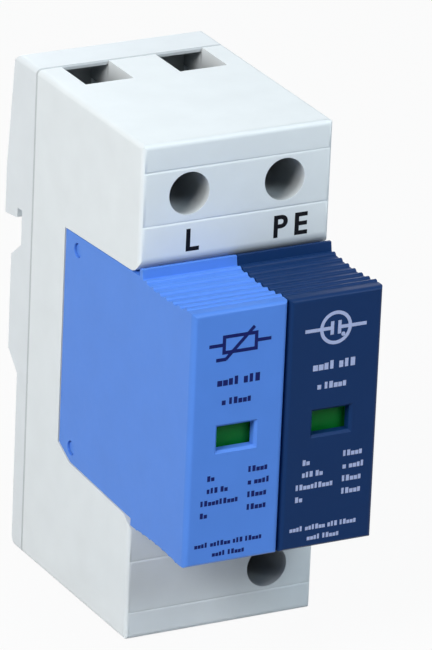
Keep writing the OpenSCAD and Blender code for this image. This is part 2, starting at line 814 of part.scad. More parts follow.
module screw(pole, end) {
    neck_y = head_y + head_h;
    slot_y = head_y + slot_d;
    color([0.78, 0.79, 0.8])
        at(pole, end)
            difference() {
                union() {
                    rod(0, head_y, neck_y, term_z, head_d);
                    rod(0, neck_y - join, bar_y0 - fit, term_z, screw_d - 2 * thread_d);
                }
                box([-slot_w / 2, head_y - over, term_z - head_d], [slot_w / 2, slot_y, term_z + head_d]);
                box(
                    [-slot_l / 2, head_y - over, term_z - slot_w / 2],
                    [slot_l / 2, slot_y, term_z + slot_w / 2]
                );
            }
}

// height of the upper and lower finger grips along the nose
grip_y0 = nose_y - lip_t;
grip_y1 = face_y + grip_in;
function grip_t(y) = (y - grip_y0) / (grip_y1 - grip_y0);
function hollow(y) = 4 * grip_t(y) * (1 - grip_t(y));
function upper_grip(y) = nose_top - grip_fall + grip_fall * grip_t(y) - grip_sag * hollow(y);
function lower_grip(y) = nose_low + grip_sag_low * hollow(y);
function grip_point(i) = grip_y0 + (grip_y1 - grip_y0) * i / grip_steps;

module module_profile() {
    lip_top = nose_top + lip_h;
    key_y = mod_y - key_d;
    polygon(concat(
        [[mod_y, bay_top(mod_y) - bay_gap], [nose_y, bay_top(nose_y) - bay_gap]],
        [[nose_y, lip_top - lip_bevel], [nose_y - lip_bevel, lip_top], [grip_y0 + lip_bevel, lip_top]],
        [for (i = [0:grip_steps]) let (y = grip_point(i)) [y, upper_grip(y)]],
        arc(face_y + brow_r, nose_top - brow_r, brow_r, 90, 180),
        [[face_y, nose_low + chin_bevel], [face_y + chin_bevel, nose_low]],
        [for (i = [grip_steps:-1:0]) let (y = grip_point(i)) [y, lower_grip(y)]],
        [[nose_y, nose_low], [nose_y, -bay_top(nose_y) + bay_gap]],
        [[key_y, -bay_top(key_y) + bay_gap], [mod_y, -bay_top(mod_y) + key_h + bay_gap]]
    ));
}

module module_plan() {
    polygon(concat(
        [[mod_w, mod_y + over]],
        arc(mod_w - edge_r, face_y + edge_r, edge_r, 0, -90),
        arc(-mod_w + edge_r, face_y + edge_r, edge_r, 270, 180),
        [[-mod_w, mod_y + over]]
    ));
}

// inside of a case, drawn smaller by a gap for what fits in it
module cavity_profile(gap) {
    z = cavity_z - gap;
    polygon([
        [cavity_y, z],
        [wall_y, z],
        [wall_y, -z],
        [mod_y - key_d - key_in_d, -z],
        [cavity_y, -z + key_h + key_in_h]
    ]);
}

module window_opening() {
    w = win_w / 2;
    w_out = w + win_bevel + join;
    z0 = win_z - win_h / 2;
    z1 = win_z + win_h / 2;
    rim = win_bevel + join;
    out_y = face_y - join;
    in_y = face_y + win_bevel;
    box([-w, face_y - over, z0], [w, wall_y + over, z1]);
    // bevel around the opening
    intersection() {
        plan(4 * win_h, win_z - 2 * win_h)
            polygon([[-w_out, out_y], [w_out, out_y], [w, in_y], [-w, in_y]]);
        side(4 * win_w, -2 * win_w)
            polygon([[out_y, z0 - rim], [out_y, z1 + rim], [in_y, z1], [in_y, z0]]);
    }
}

module module_case(pole) {
    rib_y = grip_y0 - rib_in;
    rib_step = (grip_y1 + rib_in - rib_y) / (rib_count - 1);
    hole_d = peg_d + 2 * peg_gap;
    collar_x = win_w / 2 + collar_side;
    collar_h = win_h / 2 + collar_end;
    at(pole, 1)
        union() {
            difference() {
                union() {
                    intersection() {
                        side(2 * mod_w, -mod_w) module_profile();
                        plan(base_h, -base_h / 2) module_plan();
                    }
                    // ribs of the finger grips
                    for (i = [0:rib_count - 1]) {
                        y = rib_y + rib_step * i;
                        cross_rod(-mod_w, mod_w, y, upper_grip(y) - rib_sink, 2 * rib_r);
                        cross_rod(-mod_w, mod_w, y, lower_grip(y) + rib_sink_low, 2 * rib_r);
                    }
                }
                side(2 * in_w, -in_w) cavity_profile(0);
                window_opening();
                // holes that the lid's pegs snap into
                for (z = [-peg_z, peg_z])
                    cross_rod(-mod_w - over, mod_w + over, peg_y, z, hole_d);
            }
            // collar of the window, which the lens lies on
            difference() {
                box([-collar_x, wall_y - join, win_z - collar_h], [collar_x, lens_y, win_z + collar_h]);
                box(
                    [-win_w / 2, wall_y - over, win_z - win_h / 2],
                    [win_w / 2, wall_y + over, win_z + win_h / 2]
                );
            }
            // runners, lips and stop of the status flag
            for (s = [0, 1])
                mirror([s, 0, 0]) {
                    box([flag_w + flag_gap, wall_y - join, runner_z0], [runner_x, runner_y1, runner_z1]);
                    box(
                        [flag_w - runner_lap, runner_y0, runner_z0],
                        [flag_w + 2 * flag_gap, runner_y1, runner_z1]
                    );
                }
            box([-runner_x, wall_y - join, flag_low - fit - stop_t], [runner_x, flag_y1, flag_low - fit]);
            // seat of the flag's spring
            box(
                [-spring_room, flag_spring_y - foot_w / 2, -cavity_z - 2 * join],
                [spring_room, flag_spring_y + foot_w / 2, seat_z]
            );
        }
}

module line_case() {
    color([0.3, 0.5, 0.86]) module_case(-1);
}

module earth_case() {
    color([0.12, 0.18, 0.38]) module_case(1);
}

// lid with snap arms, which closes a case and carries its blades
module module_lid(pole) {
    slot_x = blade_t / 2 + blade_seat_gap;
    slot_half = blade_h / 2 + blade_seat_gap;
    at(pole, 1)
        difference() {
            union() {
                intersection() {
                    side(2 * in_w - 2 * fit, -in_w + fit) cavity_profile(fit);
                    union() {
                        box([-in_w, lid_y, -base_h / 2], [in_w, mod_y, base_h / 2]);
                        for (s = [0, 1], end = [0, 1])
                            mirror([s, 0, 0])
                                mirror([0, 0, end])
                                    box(
                                        [in_w - arm_t, peg_y - arm_end, peg_z - arm_in],
                                        [in_w, lid_y + join, cavity_z]
                                    );
                    }
                }
                for (s = [0, 1], z = [-peg_z, peg_z])
                    mirror([s, 0, 0])
                        cross_rod(in_w - peg_root, mod_w - peg_sink, peg_y, z, peg_d);
            }
            for (z = [-blade_z, blade_z])
                box([-slot_x, lid_y - over, z - slot_half], [slot_x, mod_y + over, z + slot_half]);
        }
}

module line_lid() {
    color([0.27, 0.46, 0.8]) module_lid(-1);
}

module earth_lid() {
    color([0.11, 0.16, 0.34]) module_lid(1);
}

// the part of a blade that plugs into the fork
module blade_body() {
    t = blade_t / 2;
    tip = t * blade_point_share;
    neck_y = blade_tip - blade_point;
    plan(blade_h, blade_z - blade_h / 2)
        polygon([[-t, tail_y], [t, tail_y], [t, neck_y], [tip, blade_tip], [-tip, blade_tip], [-t, neck_y]]);
}

// a line blade ends in a strip on one face of the varistor
module line_blade(end) {
    half = blade_h / 2;
    out_x = strip_x + strip_t;
    color([0.83, 0.83, 0.8])
        translate([-pole_w / 2, 0, 0])
            rotate([0, end > 0 ? 0 : 180, 0])
                union() {
                    blade_body();
                    box([-blade_t / 2, tail_y - strip_t, blade_z - half], [out_x, tail_y, blade_z + half]);
                    box(
                        [strip_x, tail_y - strip_l, blade_z - strip_w / 2],
                        [out_x, tail_y, blade_z + strip_w / 2]
                    );
                }
}

module line_varistor() {
    r = varistor_r;
    a = varistor_h / 2 - r;
    color([0.78, 0.45, 0.16])
        translate([-pole_w / 2, 0, 0])
            side(varistor_t, -strip_x)
                polygon(concat(
                    arc(element_y1 - r, a, r, 0, 90),
                    arc(element_y0 + r, a, r, 90, 180),
                    arc(element_y0 + r, -a, r, 180, 270),
                    arc(element_y1 - r, -a, r, 270, 360)
                ));
}

// strip held by low-melting solder, which springs clear of a hot varistor
module line_release_strip() {
    end_y = tail_y - strip_l;
    arm_y = element_y0 + release_in;
    z0 = blade_z - strip_w / 2;
    z1 = blade_z + strip_w / 2;
    color([0.8, 0.52, 0.32])
        translate([-pole_w / 2, 0, 0])
            side(strip_t, strip_x)
                polygon([
                    [end_y, z0], [end_y, z1], [arm_y, z1],
                    [arm_y, -strip_w], [arm_y + strip_w, -strip_w], [arm_y + strip_w, z0]
                ]);
}

// an earth blade ends in a plate on one cap of the gas tube
module earth_blade(end) {
    color([0.83, 0.83, 0.8])
        at(1, end)
            union() {
                blade_body();
                box(
                    [-plate_w / 2, element_y - plate_end, plate_z],
                    [plate_w / 2, tail_y + plate_root, plate_z + strip_t]
                );
            }
}

module earth_gas_tube() {
    color([0.92, 0.9, 0.85])
        translate([pole_w / 2, element_y, -plate_z + cap_h]) cylinder(d = tube_d, h = 2 * (plate_z - cap_h));
}

module earth_tube_caps() {
    neck_h = cap_h - rim_h + join;
    color([0.8, 0.8, 0.78])
        for (end = [-1, 1])
            at(1, end)
                translate([0, element_y, 0])
                    union() {
                        translate([0, 0, plate_z - cap_h]) cylinder(d = tube_d, h = rim_h);
                        translate([0, 0, plate_z - neck_h]) cylinder(d = tube_d - 2 * rim_step, h = neck_h);
                    }
}

// strip held by low-melting solder on the tube's upper cap
module earth_release_strip() {
    end_y = element_y - plate_end;
    bend_y = element_y0 - release_out;
    end_z = plate_z - release_l;
    color([0.8, 0.52, 0.32])
        translate([pole_w / 2, 0, 0])
            side(plate_w, -plate_w / 2)
                polygon([
                    [end_y, plate_z], [end_y, plate_z + strip_t], [bend_y, plate_z + strip_t],
                    [bend_y, end_z], [bend_y + strip_t, end_z], [bend_y + strip_t, plate_z]
                ]);
}

// sliding flag, whose upper half shows in the window until the module trips
module flag(pole) {
    foot_y = flag_spring_y + spring_r + spring_wire + foot_end;
    at(pole, 1)
        union() {
            box([-flag_w, flag_y0, flag_low], [flag_w, flag_y1, flag_top]);
            box([-foot_w / 2, flag_y1 - join, flag_low], [foot_w / 2, foot_y, flag_low + foot_t]);
        }
}

module line_flag() {
    color([0.1, 0.42, 0.18]) flag(-1);
}

module earth_flag() {
    color([0.1, 0.42, 0.18]) flag(1);
}

module flag_spring(pole) {
    color([0.7, 0.71, 0.73])
        translate([pole * pole_w / 2, flag_spring_y, 0]) coil(seat_z, flag_low);
}

// clear lens behind the window opening
module window(pole) {
    w = win_w / 2 + lens_lap;
    h = win_h / 2 + lens_lap;
    color([0.85, 0.9, 0.88, 0.5])
        at(pole, 1)
            box([-w, lens_y, win_z - h], [w, lens_y + lens_t, win_z + h]);
}

housing();
rear_cover();
rail_latch();
latch_spring();
contact(-1);  // line_contact
contact(1);  // earth_contact
neutral_busbar();
cage(-1, 1);  // line_cage
cage(1, 1);  // earth_cage
cage(1, -1);  // neutral_cage
screw(-1, 1);  // line_screw
screw(1, 1);  // earth_screw
screw(1, -1);  // neutral_screw
line_case();
line_lid();
line_blade(1);  // line_upper_blade
line_blade(-1);  // line_lower_blade
line_varistor();
line_release_strip();
line_flag();
flag_spring(-1);  // line_flag_spring
window(-1);  // line_window
earth_case();
earth_lid();
earth_blade(1);  // earth_upper_blade
earth_blade(-1);  // earth_lower_blade
earth_gas_tube();
earth_tube_caps();
earth_release_strip();
earth_flag();
flag_spring(1);  // earth_flag_spring
window(1);  // earth_window
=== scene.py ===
import math

import bmesh
import bpy
from mathutils import Matrix, Vector


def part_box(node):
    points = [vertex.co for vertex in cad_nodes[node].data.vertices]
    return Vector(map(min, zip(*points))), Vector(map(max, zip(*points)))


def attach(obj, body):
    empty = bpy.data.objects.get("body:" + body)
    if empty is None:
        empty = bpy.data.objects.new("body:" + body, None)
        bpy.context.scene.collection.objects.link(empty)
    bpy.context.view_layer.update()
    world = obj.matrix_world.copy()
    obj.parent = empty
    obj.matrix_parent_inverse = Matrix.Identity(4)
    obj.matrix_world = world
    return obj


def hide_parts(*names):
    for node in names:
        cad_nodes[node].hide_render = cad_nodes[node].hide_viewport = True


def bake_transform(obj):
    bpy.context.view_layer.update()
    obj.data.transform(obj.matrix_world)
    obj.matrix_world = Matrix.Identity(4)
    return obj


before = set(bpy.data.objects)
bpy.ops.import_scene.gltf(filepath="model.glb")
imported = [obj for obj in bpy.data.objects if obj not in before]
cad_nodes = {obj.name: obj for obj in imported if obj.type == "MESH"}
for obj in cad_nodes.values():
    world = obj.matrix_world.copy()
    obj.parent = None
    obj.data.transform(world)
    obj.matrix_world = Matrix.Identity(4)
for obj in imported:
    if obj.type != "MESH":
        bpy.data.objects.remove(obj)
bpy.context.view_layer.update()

# Lengths are in millimetres, and MM turns them into the scene's metres
MM = 0.001
QUARTER_TURN = math.radians(90)
WHITE = (1.0, 1.0, 1.0, 1.0)


def corners(node):
    """The lowest and highest corners of a CAD node."""
    low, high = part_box(node)
    return Vector(low) / MM, Vector(high) / MM


def middle(node):
    """The middle of a CAD node's box."""
    low, high = corners(node)
    return (low + high) / 2


# Places on the object, taken from the CAD nodes

POLES = ("line", "earth")
TERMINALS = ("line", "earth", "neutral")
TERMINAL_X = middle("earth_screw").x
TERMINAL_Z = middle("earth_screw").z
BASE_BOTTOM_Z = corners("housing")[0].z
FRONT_Y = corners("housing")[0].y
PARTING_Y = corners("housing")[1].y
FACE_Y = corners("line_case")[0].y
FLAG_SPLIT_Z = middle("line_flag").z

# Limits of the recesses and the parting groove where shade is painted into the base's colour, out to their
# walls
BORE_R = 3.88
WIRE_HALF_W = 4.62
WIRE_FRONT_Y = -14.6
WIRE_TOP_Z = 44.7
POCKET_BACK_Y = 2.3
POCKET_LOW_Z = 28.0
GROOVE_HALF_W = 0.3

# How far behind the front a bore's painted shade starts and at what share, then its full depth and
# strengths
BORE_LIP = 0.06
BORE_START = 0.5
RECESS_DEPTH = 3.0
GROOVE_SHADE = 0.6
RECESS_SHADE = 0.54


# Node trees, with shader maths as expressions

class Value:
    """A number that changes over a surface."""

    def __init__(self, nodes, socket):
        self.nodes = nodes
        self.socket = socket

    def maths(self, operation, first, second):
        """The result of a Math node on two values."""
        added = self.nodes.node("ShaderNodeMath", {"operation": operation}, {0: first, 1: second})
        return Value(self.nodes, added.outputs[0])

    def __add__(self, other):
        return self.maths("ADD", self, other)

    __radd__ = __add__

    def __mul__(self, other):
        return self.maths("MULTIPLY", self, other)

    __rmul__ = __mul__

    def __sub__(self, other):
        return self.maths("SUBTRACT", self, other)

    def __rsub__(self, other):
        return self.maths("SUBTRACT", other, self)

    def __truediv__(self, other):
        return self.maths("DIVIDE", self, other)

    def __rtruediv__(self, other):
        return self.maths("DIVIDE", other, self)

    def __gt__(self, other):
        return self.maths("GREATER_THAN", self, other)

    def __lt__(self, other):
        return self.maths("LESS_THAN", self, other)

    def __abs__(self):
        return self.maths("ABSOLUTE", self, 0.0)

    def held(self):
        """The value held between zero and one."""
        added = self.nodes.node("ShaderNodeClamp", inputs={"Value": self})
        return Value(self.nodes, added.outputs[0])


class Nodes:
    """A node tree, and the one way in which nodes are added to it."""

    def __init__(self, tree):
        self.tree = tree

    def join(self, socket, value):
        """Gives a socket a link or a plain value."""
        if isinstance(value, Value):
            value = value.socket
        if isinstance(value, bpy.types.NodeSocket):
            self.tree.links.new(value, socket)
        else:
            socket.default_value = value

    def node(self, kind, settings=None, inputs=None):
        """Adds a node of a kind with its settings, then gives its sockets their values or links."""
        added = self.tree.nodes.new(kind)
        for key, value in (settings or {}).items():
            setattr(added, key, value)
        for key, value in (inputs or {}).items():
            self.join(added.inputs[key], value)
        return added


class Paint(Nodes):
    """A material with one main shader."""

    def __init__(self, name, colour, roughness, metallic=0.0, specular=0.5):
        self.material = bpy.data.materials.new(name)
        self.material.use_nodes = True
        self.material.diffuse_color = (*colour, 1.0)
        super().__init__(self.material.node_tree)
        self.shader = self.tree.nodes["Principled BSDF"]
        self.set("Base Color", (*colour, 1.0))
        self.set("Roughness", roughness)
        self.set("Metallic", metallic)
        self.set("Specular IOR Level", specular)

    def set(self, socket, value):
        """Gives a socket of the main shader a link or a plain value."""
        self.join(self.shader.inputs[socket], value)

    def place(self):
        """The place on the object."""
        return self.node("ShaderNodeTexCoord").outputs["Object"]

    def axes(self):
        """The place on the object as three numbers."""
        added = self.node("ShaderNodeSeparateXYZ", inputs={"Vector": self.place()})
        return [Value(self, added.outputs[axis]) for axis in ("X", "Y", "Z")]

    def noise(self, scale, detail=2.0):
        """A cloudy pattern of numbers between zero and one."""
        added = self.node(
            "ShaderNodeTexNoise",
            {"noise_dimensions": "3D"},
            {"Vector": self.place(), "Scale": scale, "Detail": detail},
        )
        return Value(self, added.outputs["Fac"])

    def uneven(self, value, spread, scale):
        """A value that wanders over the surface by a spread."""
        return self.noise(scale) * spread + (value - spread / 2)

    def mixed(self, factor, low, high):
        """A colour that goes from one to another as the factor goes from zero to one."""
        low = (*low, 1.0) if isinstance(low, tuple) else low
        high = (*high, 1.0) if isinstance(high, tuple) else high
        added = self.node("ShaderNodeMix", {"data_type": "RGBA"}, {0: factor, 6: low, 7: high})
        return added.outputs[2]

    def grain(self, scale, strength, depth):
        """Roughens the surface with a fine bump."""
        added = self.node(
            "ShaderNodeBump",
            inputs={"Strength": strength, "Distance": depth, "Height": self.noise(scale)},
        )
        self.set("Normal", added.outputs["Normal"])


def linear(red, green, blue):
    """A screen colour of 0 to 255 as the linear colour that a shader takes."""
    def one(c):
        c = c / 255
        return c / 12.92 if c <= 0.04045 else ((c + 0.055) / 1.055) ** 2.4
    return (one(red), one(green), one(blue))


def toned(colour, gain):
    """A colour made lighter or darker by a gain."""
    return tuple(min(1.0, c * gain) for c in colour)


# Finishes of the mouldings, metals, inks, flags and windows

TONE_SPREAD = 0.05
TONE_SCALE = 160.0
TONE_DETAIL = 3.0
SHEEN_SPREAD = 0.12
SHEEN_SCALE = 900.0
GRAIN_SCALE = 4200.0
GRAIN_STRENGTH = 0.10
GRAIN_DEPTH = 0.03
# The dark end of the shade painted into recesses, as a gain on the colour
PAINTED_SHADE_TONE = 0.06
STAIN_SCALE = 420.0
STAIN_DETAIL = 4.0
DRAWN_SPREAD = 0.16
DRAWN_SCALE = 1500.0
INK_SPREAD = 0.15
INK_SCALE = 2600.0


def moulded(name, colour, roughness, specular=0.3, shade=None):
    """Satin moulded plastic with a fine spark-eroded grain, a slightly uneven tone, and shade painted into
    its recesses when a shade is given.
    """
    paint = Paint(name, colour, roughness, specular=specular)
    patches = paint.noise(TONE_SCALE, TONE_DETAIL)
    tone = paint.mixed(patches, toned(colour, 1 - TONE_SPREAD), toned(colour, 1 + TONE_SPREAD))
    # Shade is painted into the colour where the shade mask grows
    if shade:
        tone = paint.mixed(shade(paint), tone, toned(colour, PAINTED_SHADE_TONE))
    paint.set("Base Color", tone)
    paint.set("Roughness", paint.uneven(roughness, SHEEN_SPREAD, SHEEN_SCALE))
    paint.grain(GRAIN_SCALE, GRAIN_STRENGTH, GRAIN_DEPTH * MM)
    return paint.material


def metal(name, colour, roughness, stain):
    """Plated or bare metal, with a faint stain in its tone and a drawn finish in its sheen."""
    paint = Paint(name, colour, roughness, metallic=1.0)
    stains = paint.noise(STAIN_SCALE, STAIN_DETAIL)
    paint.set("Base Color", paint.mixed(stains, toned(colour, 1 - stain), colour))
    paint.set("Roughness", paint.uneven(roughness, DRAWN_SPREAD, DRAWN_SCALE))
    return paint.material


def ink(name, colour):
    """Pad-printed ink, which lies a little unevenly."""
    paint = Paint(name, colour, roughness=0.55, specular=0.12)
    film = paint.noise(INK_SCALE)
    paint.set("Base Color", paint.mixed(film, toned(colour, 1 - INK_SPREAD), toned(colour, 1 + INK_SPREAD)))
    return paint.material


def flag_plastic():
    """Green where the flag shows at rest, red on the half that a tripped module shows."""
    green = linear(4, 120, 42)
    red = linear(190, 28, 30)
    roughness = 0.45
    paint = Paint("flag_plastic", green, roughness, specular=0.1)
    height = paint.axes()[2]
    paint.set("Base Color", paint.mixed(height > FLAG_SPLIT_Z * MM, red, green))
    paint.set("Roughness", paint.uneven(roughness, SHEEN_SPREAD, SHEEN_SCALE))
    return paint.material


def lens_plastic():
    """Clear plastic, of which little but a faint sheen is seen."""
    paint = Paint("lens_plastic", linear(10, 40, 26), roughness=0.1, specular=0.4)
    paint.set("Alpha", 0.06)
    return paint.material


def deeper(distance):
    """Grows from zero to one over the first stretch of a recess, for the shade painted there."""
    return distance / (RECESS_DEPTH * MM)


def parting_groove_shade(y):
    """Part of one in the groove between the housing and its rear cover, where shade is painted into the
    colour.
    """
    return (abs(y - PARTING_Y * MM) < GROOVE_HALF_W * MM) * GROOVE_SHADE


def housing_painted_shade(paint):
    """Painted shade of the housing, which grows with the depth of the screw bores and wire openings, and
    painted shade in the parting groove.
    """
    x, y, z = paint.axes()
    across = abs(x) - TERMINAL_X * MM
    along = abs(z) - TERMINAL_Z * MM
    in_bore = (across * across + along * along < (BORE_R * MM) ** 2) * (y > (FRONT_Y + BORE_LIP) * MM)
    bore = in_bore * (deeper(y - FRONT_Y * MM) + BORE_START).held()
    in_opening = (abs(across) < WIRE_HALF_W * MM) * (y > WIRE_FRONT_Y * MM)
    opening = in_opening * deeper(WIRE_TOP_Z * MM - abs(z)).held()
    return (bore + opening + parting_groove_shade(y)).held() * RECESS_SHADE


def cover_painted_shade(paint):
    """Painted shade of the rear cover, which grows with the depth of the pockets behind the upper wire
    openings, and painted shade in the parting groove.
    """
    x, y, z = paint.axes()
    beside = abs(abs(x) - TERMINAL_X * MM) < WIRE_HALF_W * MM
    in_pocket = beside * (y < POCKET_BACK_Y * MM) * (z > POCKET_LOW_Z * MM)
    pocket = in_pocket * deeper(WIRE_TOP_Z * MM - z).held()
    return (pocket + parting_groove_shade(y)).held() * RECESS_SHADE


# The base's greys have shade painted into their recesses and their parting groove
housing_grey = moulded("housing_grey", linear(222, 228, 231), roughness=0.42, shade=housing_painted_shade)
cover_grey = moulded("cover_grey", linear(219, 225, 229), roughness=0.45, shade=cover_painted_shade)
latch_grey = moulded("latch_grey", linear(205, 212, 217), roughness=0.45)
line_blue = moulded("line_blue", linear(82, 133, 220), roughness=0.4, specular=0.2)
earth_navy = moulded("earth_navy", linear(13, 46, 92), roughness=0.4, specular=0.12)
varistor_coat = moulded("varistor_coat", linear(196, 112, 44), roughness=0.5)
tube_ceramic = moulded("tube_ceramic", linear(238, 234, 224), roughness=0.4)
spring_steel = metal("spring_steel", linear(196, 198, 202), roughness=0.3, stain=0.12)
zinc_plate = metal("zinc_plate", linear(205, 208, 210), roughness=0.34, stain=0.15)
screw_steel = metal("screw_steel", linear(150, 152, 156), roughness=0.4, stain=0.2)
bare_copper = metal("bare_copper", linear(214, 140, 98), roughness=0.34, stain=0.25)
tin_plate = metal("tin_plate", linear(214, 213, 208), roughness=0.3, stain=0.12)
ink_black = ink("ink_black", linear(12, 13, 20))
ink_dark_blue = ink("ink_dark_blue", linear(16, 26, 92))
ink_pale = ink("ink_pale", linear(168, 178, 214))
flag_green = flag_plastic()
clear_lens = lens_plastic()


# Finish and broken edges of the CAD nodes

WELD_DISTANCE = 0.002
FLAT_ANGLE = math.radians(0.5)
BEVEL_ANGLE = math.radians(40)
BEVEL_SEGMENTS = 3
SMOOTH_ANGLE = math.radians(38)


def smooth_by_angle():
    """A modifier tree that shades a piece smooth except across its sharp edges."""
    tree = bpy.data.node_groups.new("smooth_by_angle", "GeometryNodeTree")
    for way in ("INPUT", "OUTPUT"):
        tree.interface.new_socket("Geometry", in_out=way, socket_type="NodeSocketGeometry")
    nodes = Nodes(tree)
    start = nodes.node("NodeGroupInput")
    angle = nodes.node("GeometryNodeInputMeshEdgeAngle")
    gentle = nodes.node(
        "FunctionNodeCompare",
        {"operation": "LESS_EQUAL"},
        {0: angle.outputs["Unsigned Angle"], 1: SMOOTH_ANGLE},
    )
    faces = nodes.node("GeometryNodeSetShadeSmooth", {"domain": "FACE"}, {"Geometry": start.outputs[0]})
    edges = nodes.node(
        "GeometryNodeSetShadeSmooth",
        {"domain": "EDGE"},
        {"Geometry": faces.outputs[0], "Shade Smooth": gentle.outputs[0]},
    )
    nodes.node("NodeGroupOutput", inputs={0: edges.outputs[0]})
    return tree


shading = smooth_by_angle()


def dress(name, material, edge=None):
    """Gives a CAD node its finish, and breaks its sharp edges as its mould or die does."""
    piece = cad_nodes[name]
    piece.data.materials.clear()
    piece.data.materials.append(material)
    if edge is None:
        return
    weld = piece.modifiers.new("weld", "WELD")
    weld.merge_threshold = WELD_DISTANCE * MM
    flat = piece.modifiers.new("flat", "DECIMATE")
    flat.decimate_type = "DISSOLVE"
    flat.angle_limit = FLAT_ANGLE
    bevel = piece.modifiers.new("bevel", "BEVEL")
    bevel.width = edge * MM
    bevel.segments = BEVEL_SEGMENTS
    bevel.limit_method = "ANGLE"
    bevel.angle_limit = BEVEL_ANGLE
    bevel.use_clamp_overlap = True
    smooth = piece.modifiers.new("smooth", "NODES")
    smooth.node_group = shading
    level = piece.modifiers.new("level", "WEIGHTED_NORMAL")
    level.keep_sharp = True


dress("housing", housing_grey, edge=0.18)
dress("rear_cover", cover_grey, edge=0.2)
dress("rail_latch", latch_grey, edge=0.15)
for busbar in ("line_contact", "earth_contact", "neutral_busbar"):
    dress(busbar, bare_copper, edge=0.1)
for terminal in TERMINALS:
    dress(f"{terminal}_cage", zinc_plate, edge=0.2)
    dress(f"{terminal}_screw", screw_steel, edge=0.12)
for pole, plastic in zip(POLES, (line_blue, earth_navy)):
    dress(f"{pole}_case", plastic, edge=0.12)
    dress(f"{pole}_lid", plastic, edge=0.12)
    dress(f"{pole}_upper_blade", tin_plate, edge=0.08)
    dress(f"{pole}_lower_blade", tin_plate, edge=0.08)
    dress(f"{pole}_release_strip", bare_copper)
    dress(f"{pole}_flag", flag_green, edge=0.1)
    dress(f"{pole}_window", clear_lens)
dress("line_varistor", varistor_coat, edge=0.4)
dress("earth_gas_tube", tube_ceramic, edge=0.15)
dress("earth_tube_caps", tin_plate, edge=0.2)


# New pieces

def shown(name, data):
    """An object of a mesh, curve, lamp or camera, in the scene."""
    holder = bpy.data.objects.new(name, data)
    bpy.context.scene.collection.objects.link(holder)
    return holder


def made(name, shape, material):
    """A piece of the object from a bmesh of closed shells that is already in place."""
    bmesh.ops.recalc_face_normals(shape, faces=shape.faces)
    mesh = bpy.data.meshes.new(name)
    shape.to_mesh(mesh)
    shape.free()
    mesh.materials.append(material)
    piece = shown(name, mesh)
    return piece


def closed_loop(shape, points):
    """Adds a closed loop of edges through points, for a spin."""
    verts = [shape.verts.new(Vector(point) * MM) for point in points]
    edges = [shape.edges.new((verts[i - 1], verts[i])) for i in range(len(verts))]
    return verts + edges


def wound(shape, loop, centre, axis, turns, steps_a_turn, rise):
    """Winds a loop round an axis while it rises along it, and gives the loop at the end."""
    steps = round(turns * steps_a_turn)
    return bmesh.ops.spin(
        shape,
        geom=loop,
        cent=centre,
        axis=axis,
        dvec=Vector(axis) * (rise / steps),
        angle=math.tau * turns,
        steps=steps,
        use_merge=False,
        use_normal_flip=False,
        use_duplicate=False,
    )["geom_last"]


# Springs of the latch and of the status flags

SPRING_WIRE_R = 0.2
SPRING_WIRE_SIDES = 12
SPRING_STEPS = 28
SPRING_END_TURNS = 1.0
SPRING_OPEN_TURNS = 4.5
SPRING_END_PITCH = 0.43


def coil_spring(node):
    """A spring of round wire with closed end turns in its node's place."""
    low, high = (Vector(corner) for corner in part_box(node))
    centre = (low + high) / 2
    wire_r = SPRING_WIRE_R * MM
    coil_r = (high.x - low.x) / 2 - wire_r
    end_rise = SPRING_END_PITCH * SPRING_END_TURNS * MM
    open_rise = high.z - low.z - 2 * wire_r - 2 * end_rise
    shape = bmesh.new()
    place = Matrix.Translation((centre.x + coil_r, centre.y, low.z + wire_r))
    upright = Matrix.Rotation(QUARTER_TURN, 4, "X")
    bmesh.ops.create_circle(shape, segments=SPRING_WIRE_SIDES, radius=wire_r, matrix=place @ upright)
    loop = [*shape.verts, *shape.edges]
    for turns, rise in (
        (SPRING_END_TURNS, end_rise),
        (SPRING_OPEN_TURNS, open_rise),
        (SPRING_END_TURNS, end_rise),
    ):
        loop = wound(shape, loop, centre, (0, 0, 1), turns, SPRING_STEPS, rise)
    bmesh.ops.holes_fill(shape, edges=shape.edges, sides=SPRING_WIRE_SIDES)
    for face in shape.faces:
        face.smooth = len(face.verts) < SPRING_WIRE_SIDES
    piece = made(f"{node}_wire", shape, spring_steel)
    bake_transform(piece)
    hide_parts(node)


coil_spring("latch_spring")
for pole in POLES:
    coil_spring(f"{pole}_flag_spring")


# Threads of the terminal screws

THREAD_PITCH = 0.8
THREAD_CORE_R = 2.04
THREAD_CREST_R = 2.49
THREAD_ROOT_HALF = 0.45 * THREAD_PITCH
THREAD_CREST_HALF = 0.08 * THREAD_PITCH
THREAD_FROM_Y = -26.0
THREAD_TURNS = 14
THREAD_STEPS = 20


def thread(terminal):
    """The ridge of a screw's thread, wound round its core."""
    screw = middle(f"{terminal}_screw")
    core_z = screw.z + THREAD_CORE_R
    crest_z = screw.z + THREAD_CREST_R
    profile = (
        (screw.x, THREAD_FROM_Y - THREAD_ROOT_HALF, core_z),
        (screw.x, THREAD_FROM_Y - THREAD_CREST_HALF, crest_z),
        (screw.x, THREAD_FROM_Y + THREAD_CREST_HALF, crest_z),
        (screw.x, THREAD_FROM_Y + THREAD_ROOT_HALF, core_z),
    )
    rise = THREAD_PITCH * THREAD_TURNS * MM
    shape = bmesh.new()
    loop = closed_loop(shape, profile)
    wound(shape, loop, screw * MM, (0, 1, 0), THREAD_TURNS, THREAD_STEPS, rise)
    bmesh.ops.holes_fill(shape, edges=shape.edges, sides=len(profile))
    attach(made(f"{terminal}_thread", shape, screw_steel), f"{terminal}_clamp_screw")


for terminal in TERMINALS:
    thread(terminal)


# Strokes of the print on the mouldings

INK_T = 0.03
OVERPRINT = 0.006
RING_STEPS = 40
DOT_STEPS = 20


def bar(shape, x0, x1, z0, z1, y, turn=0.0):
    """Adds a flat printed bar on a face at y, turned about its own middle."""
    place = Matrix.Translation(Vector(((x0 + x1) / 2, y, (z0 + z1) / 2)) * MM)
    spin = Matrix.Rotation(turn, 4, "Y")
    size = Matrix.Diagonal(((x1 - x0) * MM, INK_T * MM, (z1 - z0) * MM, 1.0))
    bmesh.ops.create_cube(shape, size=1.0, matrix=place @ spin @ size)


